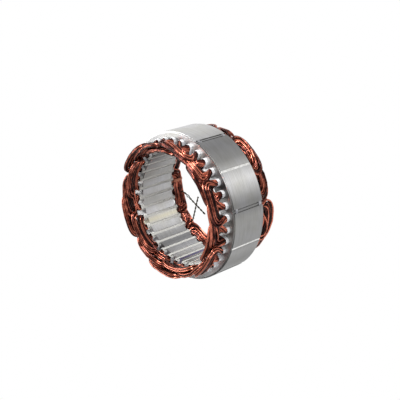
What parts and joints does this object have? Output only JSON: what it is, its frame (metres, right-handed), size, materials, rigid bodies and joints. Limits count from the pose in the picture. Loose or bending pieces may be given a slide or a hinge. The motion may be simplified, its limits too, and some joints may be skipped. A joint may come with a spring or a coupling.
{
  "type": "wound stator core",
  "caption": "Welded ring of laminations with lined slots and a copper wave winding on both ends; makes the current in a vehicle alternator.",
  "frame": {"origin": "centre of the plane that the rear end turns and ties stand on", "axes": "+Z along the stator's axis, towards the front end without leads; +X through the middle of slot 0"},
  "size_m": [0.13, 0.13, 0.0679],
  "materials": {
    "laminations": "satin, ground edges of stacked sheets",
    "weld": "bright weld seam",
    "liner_film": "white insulating film",
    "wedge": "off-white film",
    "enamelled_copper": "glossy red-brown enamel",
    "tie_copper": "glossy",
    "lead_wire": "dark enamel"
  },
  "bodies": {
    "root": {"binding_tie_1": "tie_copper", "binding_tie_2": "tie_copper", "binding_tie_3": "tie_copper", "binding_tie_4": "tie_copper", "binding_tie_5": "tie_copper", "binding_tie_6": "tie_copper", "binding_tie_7": "tie_copper", "binding_tie_8": "tie_copper", "lamination_stack": "laminations", "phase_lead_a": "lead_wire", "phase_lead_b": "lead_wire", "phase_lead_c": "lead_wire", "slot_liner_00": "liner_film", "slot_liner_01": "liner_film", "slot_liner_02": "liner_film", "slot_liner_03": "liner_film", "slot_liner_04": "liner_film", "slot_liner_05": "liner_film", "slot_liner_06": "liner_film", "slot_liner_07": "liner_film", "slot_liner_08": "liner_film", "slot_liner_09": "liner_film", "slot_liner_10": "liner_film", "slot_liner_11": "liner_film", "slot_liner_12": "liner_film", "slot_liner_13": "liner_film", "slot_liner_14": "liner_film", "slot_liner_15": "liner_film", "slot_liner_16": "liner_film", "slot_liner_17": "liner_film", "slot_liner_18": "liner_film", "slot_liner_19": "liner_film", "slot_liner_20": "liner_film", "slot_liner_21": "liner_film", "slot_liner_22": "liner_film", "slot_liner_23": "liner_film", "slot_liner_24": "liner_film", "slot_liner_25": "liner_film", "slot_liner_26": "liner_film", "slot_liner_27": "liner_film", "slot_liner_28": "liner_film", "slot_liner_29": "liner_film", "slot_liner_30": "liner_film", "slot_liner_31": "liner_film", "slot_liner_32": "liner_film", "slot_liner_33": "liner_film", "slot_liner_34": "liner_film", "slot_liner_35": "liner_film", "slot_wedges": "wedge", "tack_welds": "weld", "weld_beads": "weld", "winding_phase_a": "enamelled_copper", "winding_phase_b": "enamelled_copper", "winding_phase_c": "enamelled_copper"}
  },
  "joints": []
}
